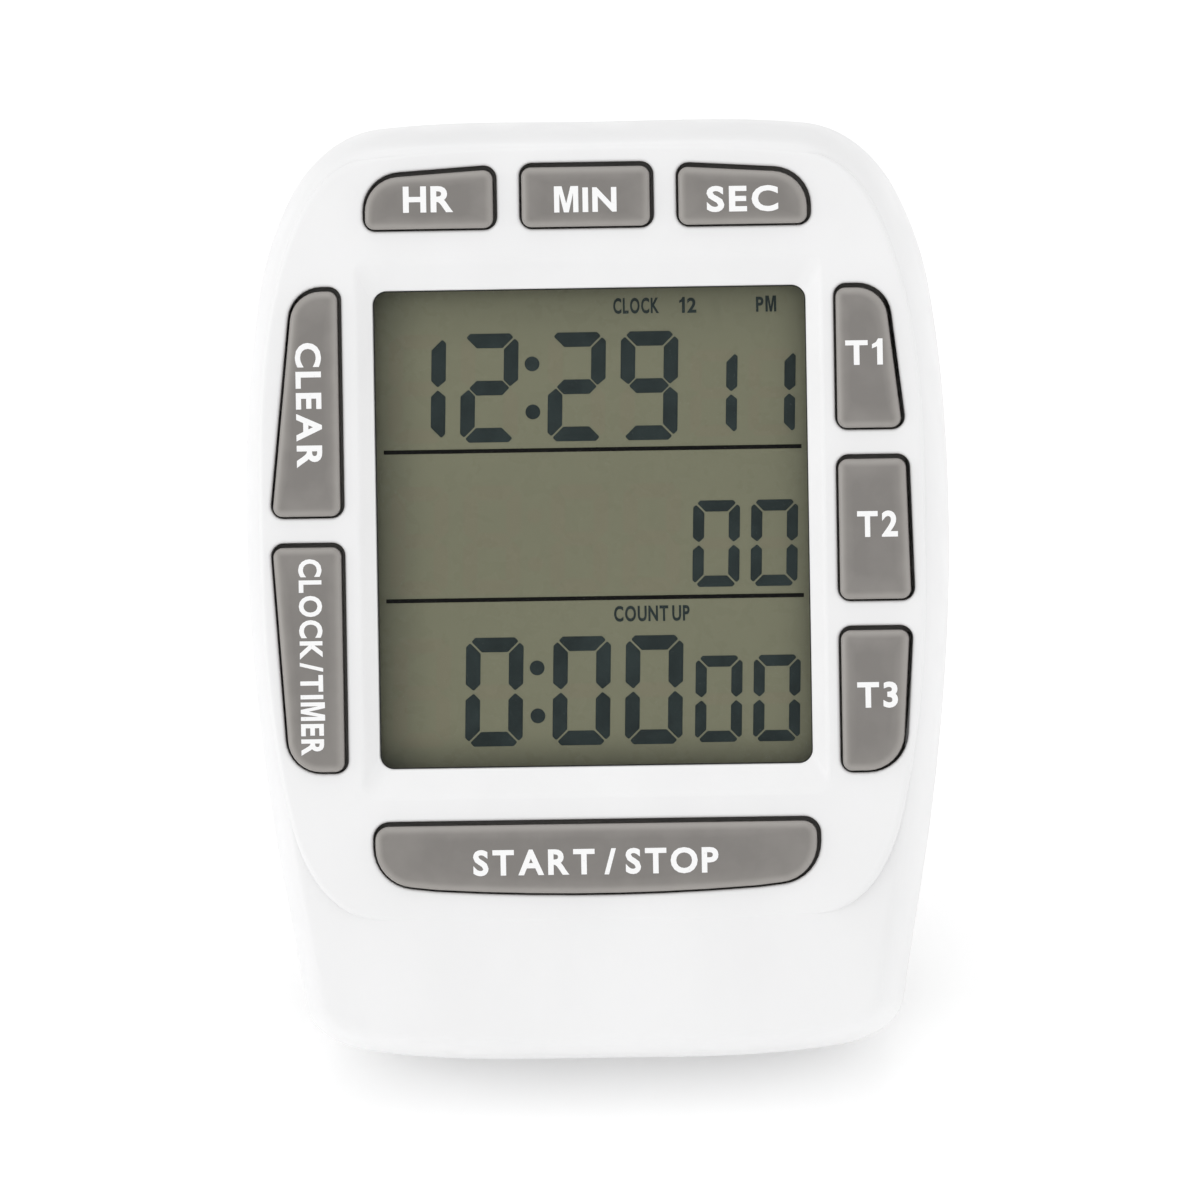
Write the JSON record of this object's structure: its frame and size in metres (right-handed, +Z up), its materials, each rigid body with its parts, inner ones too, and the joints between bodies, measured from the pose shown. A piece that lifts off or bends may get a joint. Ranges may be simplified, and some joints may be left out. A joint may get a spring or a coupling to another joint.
{
  "type": "digital laboratory timer",
  "caption": "Three-channel digital lab timer: white case with grey keys round a large display, leaning back on its fold-out stand",
  "frame": {"origin": "on the table, centred under the timer as it stands on its open stand", "axes": "+Z up, +X to the right across the face, the face looks along -Y and leans back"},
  "size_m": [0.066, 0.0564, 0.0851],
  "materials": {
    "white_plastic": "fine moulded grain, semi-matt",
    "key_grey": "satin moulded caps with white printed legends",
    "clear_pane": "clear polished pane",
    "lcd_glass": "olive reflective display glass",
    "reflector_foil": "brushed foil",
    "holder_plastic": "plain moulded",
    "strip_rubber": "layered conductive rubber",
    "keypad_silicone": "matt silicone",
    "board_laminate": "green solder mask",
    "epoxy_black": "poured epoxy",
    "zinc_steel": "zinc plated",
    "nickel_plate": "nickel plated spring steel",
    "battery_sleeve": "plain printed sleeve",
    "sounder_brass": "rolled brass",
    "sounder_ceramic": "silvered ceramic",
    "black_wire": "insulated wire",
    "red_wire": "insulated wire",
    "ferrite": "sintered magnet"
  },
  "bodies": {
    "case": {"battery_cell": "battery_sleeve", "battery_contact_negative": "nickel_plate", "battery_contact_positive": "nickel_plate", "battery_lead_negative": "black_wire", "battery_lead_positive": "red_wire", "battery_spring": "nickel_plate", "board_screw_1": "zinc_steel", "board_screw_2": "zinc_steel", "case_screw_1": "zinc_steel", "case_screw_2": "zinc_steel", "case_screw_3": "zinc_steel", "case_screw_4": "zinc_steel", "clock_crystal": "zinc_steel", "contact_strip_lower": "strip_rubber", "contact_strip_upper": "strip_rubber", "controller_cap": "epoxy_black", "display_lens": "clear_pane", "front_case": "white_plastic", "keypad_sheet": "keypad_silicone", "lcd_cell": "lcd_glass", "lcd_frame": "holder_plastic", "lcd_reflector": "reflector_foil", "magnet_left": "ferrite", "magnet_right": "ferrite", "main_board": "board_laminate", "rear_cover": "white_plastic", "sounder_ceramic": "sounder_ceramic", "sounder_disc": "sounder_brass", "sounder_lead_ground": "black_wire", "sounder_lead_signal": "red_wire"},
    "hour_key": {"hour_key": "key_grey"},
    "minute_key": {"minute_key": "key_grey"},
    "second_key": {"second_key": "key_grey"},
    "clear_key": {"clear_key": "key_grey"},
    "clock_timer_key": {"clock_timer_key": "key_grey"},
    "timer_1_key": {"timer_1_key": "key_grey"},
    "timer_2_key": {"timer_2_key": "key_grey"},
    "timer_3_key": {"timer_3_key": "key_grey"},
    "start_stop_key": {"start_stop_key": "key_grey"},
    "battery_door": {"battery_door": "white_plastic"},
    "tilt_stand": {"tilt_stand": "white_plastic"}
  },
  "joints": [
    {"name": "hour_key_press", "type": "slide", "parent": "case", "child": "hour_key", "axis": [0, 0.8879, -0.46], "range_m": [0, 0.0008], "stiffness_N_per_m": 300, "deforming": ["keypad_sheet"]},
    {"name": "minute_key_press", "type": "slide", "parent": "case", "child": "minute_key", "axis": [0, 0.8879, -0.46], "range_m": [0, 0.0008], "stiffness_N_per_m": 300, "deforming": ["keypad_sheet"]},
    {"name": "second_key_press", "type": "slide", "parent": "case", "child": "second_key", "axis": [0, 0.8879, -0.46], "range_m": [0, 0.0008], "stiffness_N_per_m": 300, "deforming": ["keypad_sheet"]},
    {"name": "clear_key_press", "type": "slide", "parent": "case", "child": "clear_key", "axis": [0, 0.8879, -0.46], "range_m": [0, 0.0008], "stiffness_N_per_m": 300, "deforming": ["keypad_sheet"]},
    {"name": "clock_timer_key_press", "type": "slide", "parent": "case", "child": "clock_timer_key", "axis": [0, 0.8879, -0.46], "range_m": [0, 0.0008], "stiffness_N_per_m": 300, "deforming": ["keypad_sheet"]},
    {"name": "timer_1_key_press", "type": "slide", "parent": "case", "child": "timer_1_key", "axis": [0, 0.8879, -0.46], "range_m": [0, 0.0008], "stiffness_N_per_m": 300, "deforming": ["keypad_sheet"]},
    {"name": "timer_2_key_press", "type": "slide", "parent": "case", "child": "timer_2_key", "axis": [0, 0.8879, -0.46], "range_m": [0, 0.0008], "stiffness_N_per_m": 300, "deforming": ["keypad_sheet"]},
    {"name": "timer_3_key_press", "type": "slide", "parent": "case", "child": "timer_3_key", "axis": [0, 0.8879, -0.46], "range_m": [0, 0.0008], "stiffness_N_per_m": 300, "deforming": ["keypad_sheet"]},
    {"name": "start_stop_key_press", "type": "slide", "parent": "case", "child": "start_stop_key", "axis": [0, 0.8879, -0.46], "range_m": [0, 0.0008], "stiffness_N_per_m": 300, "deforming": ["keypad_sheet"]},
    {"name": "battery_door_hinge", "type": "hinge", "parent": "case", "child": "battery_door", "pos_m": [0, 0.01235, 0.04517], "axis": [-1, 0, 0], "range_deg": [0, 75]},
    {"name": "tilt_stand_hinge", "type": "hinge", "parent": "case", "child": "tilt_stand", "pos_m": [0, 0.00428, 0.03089], "axis": [1, 0, 0], "range_deg": [-38, 0]}
  ]
}
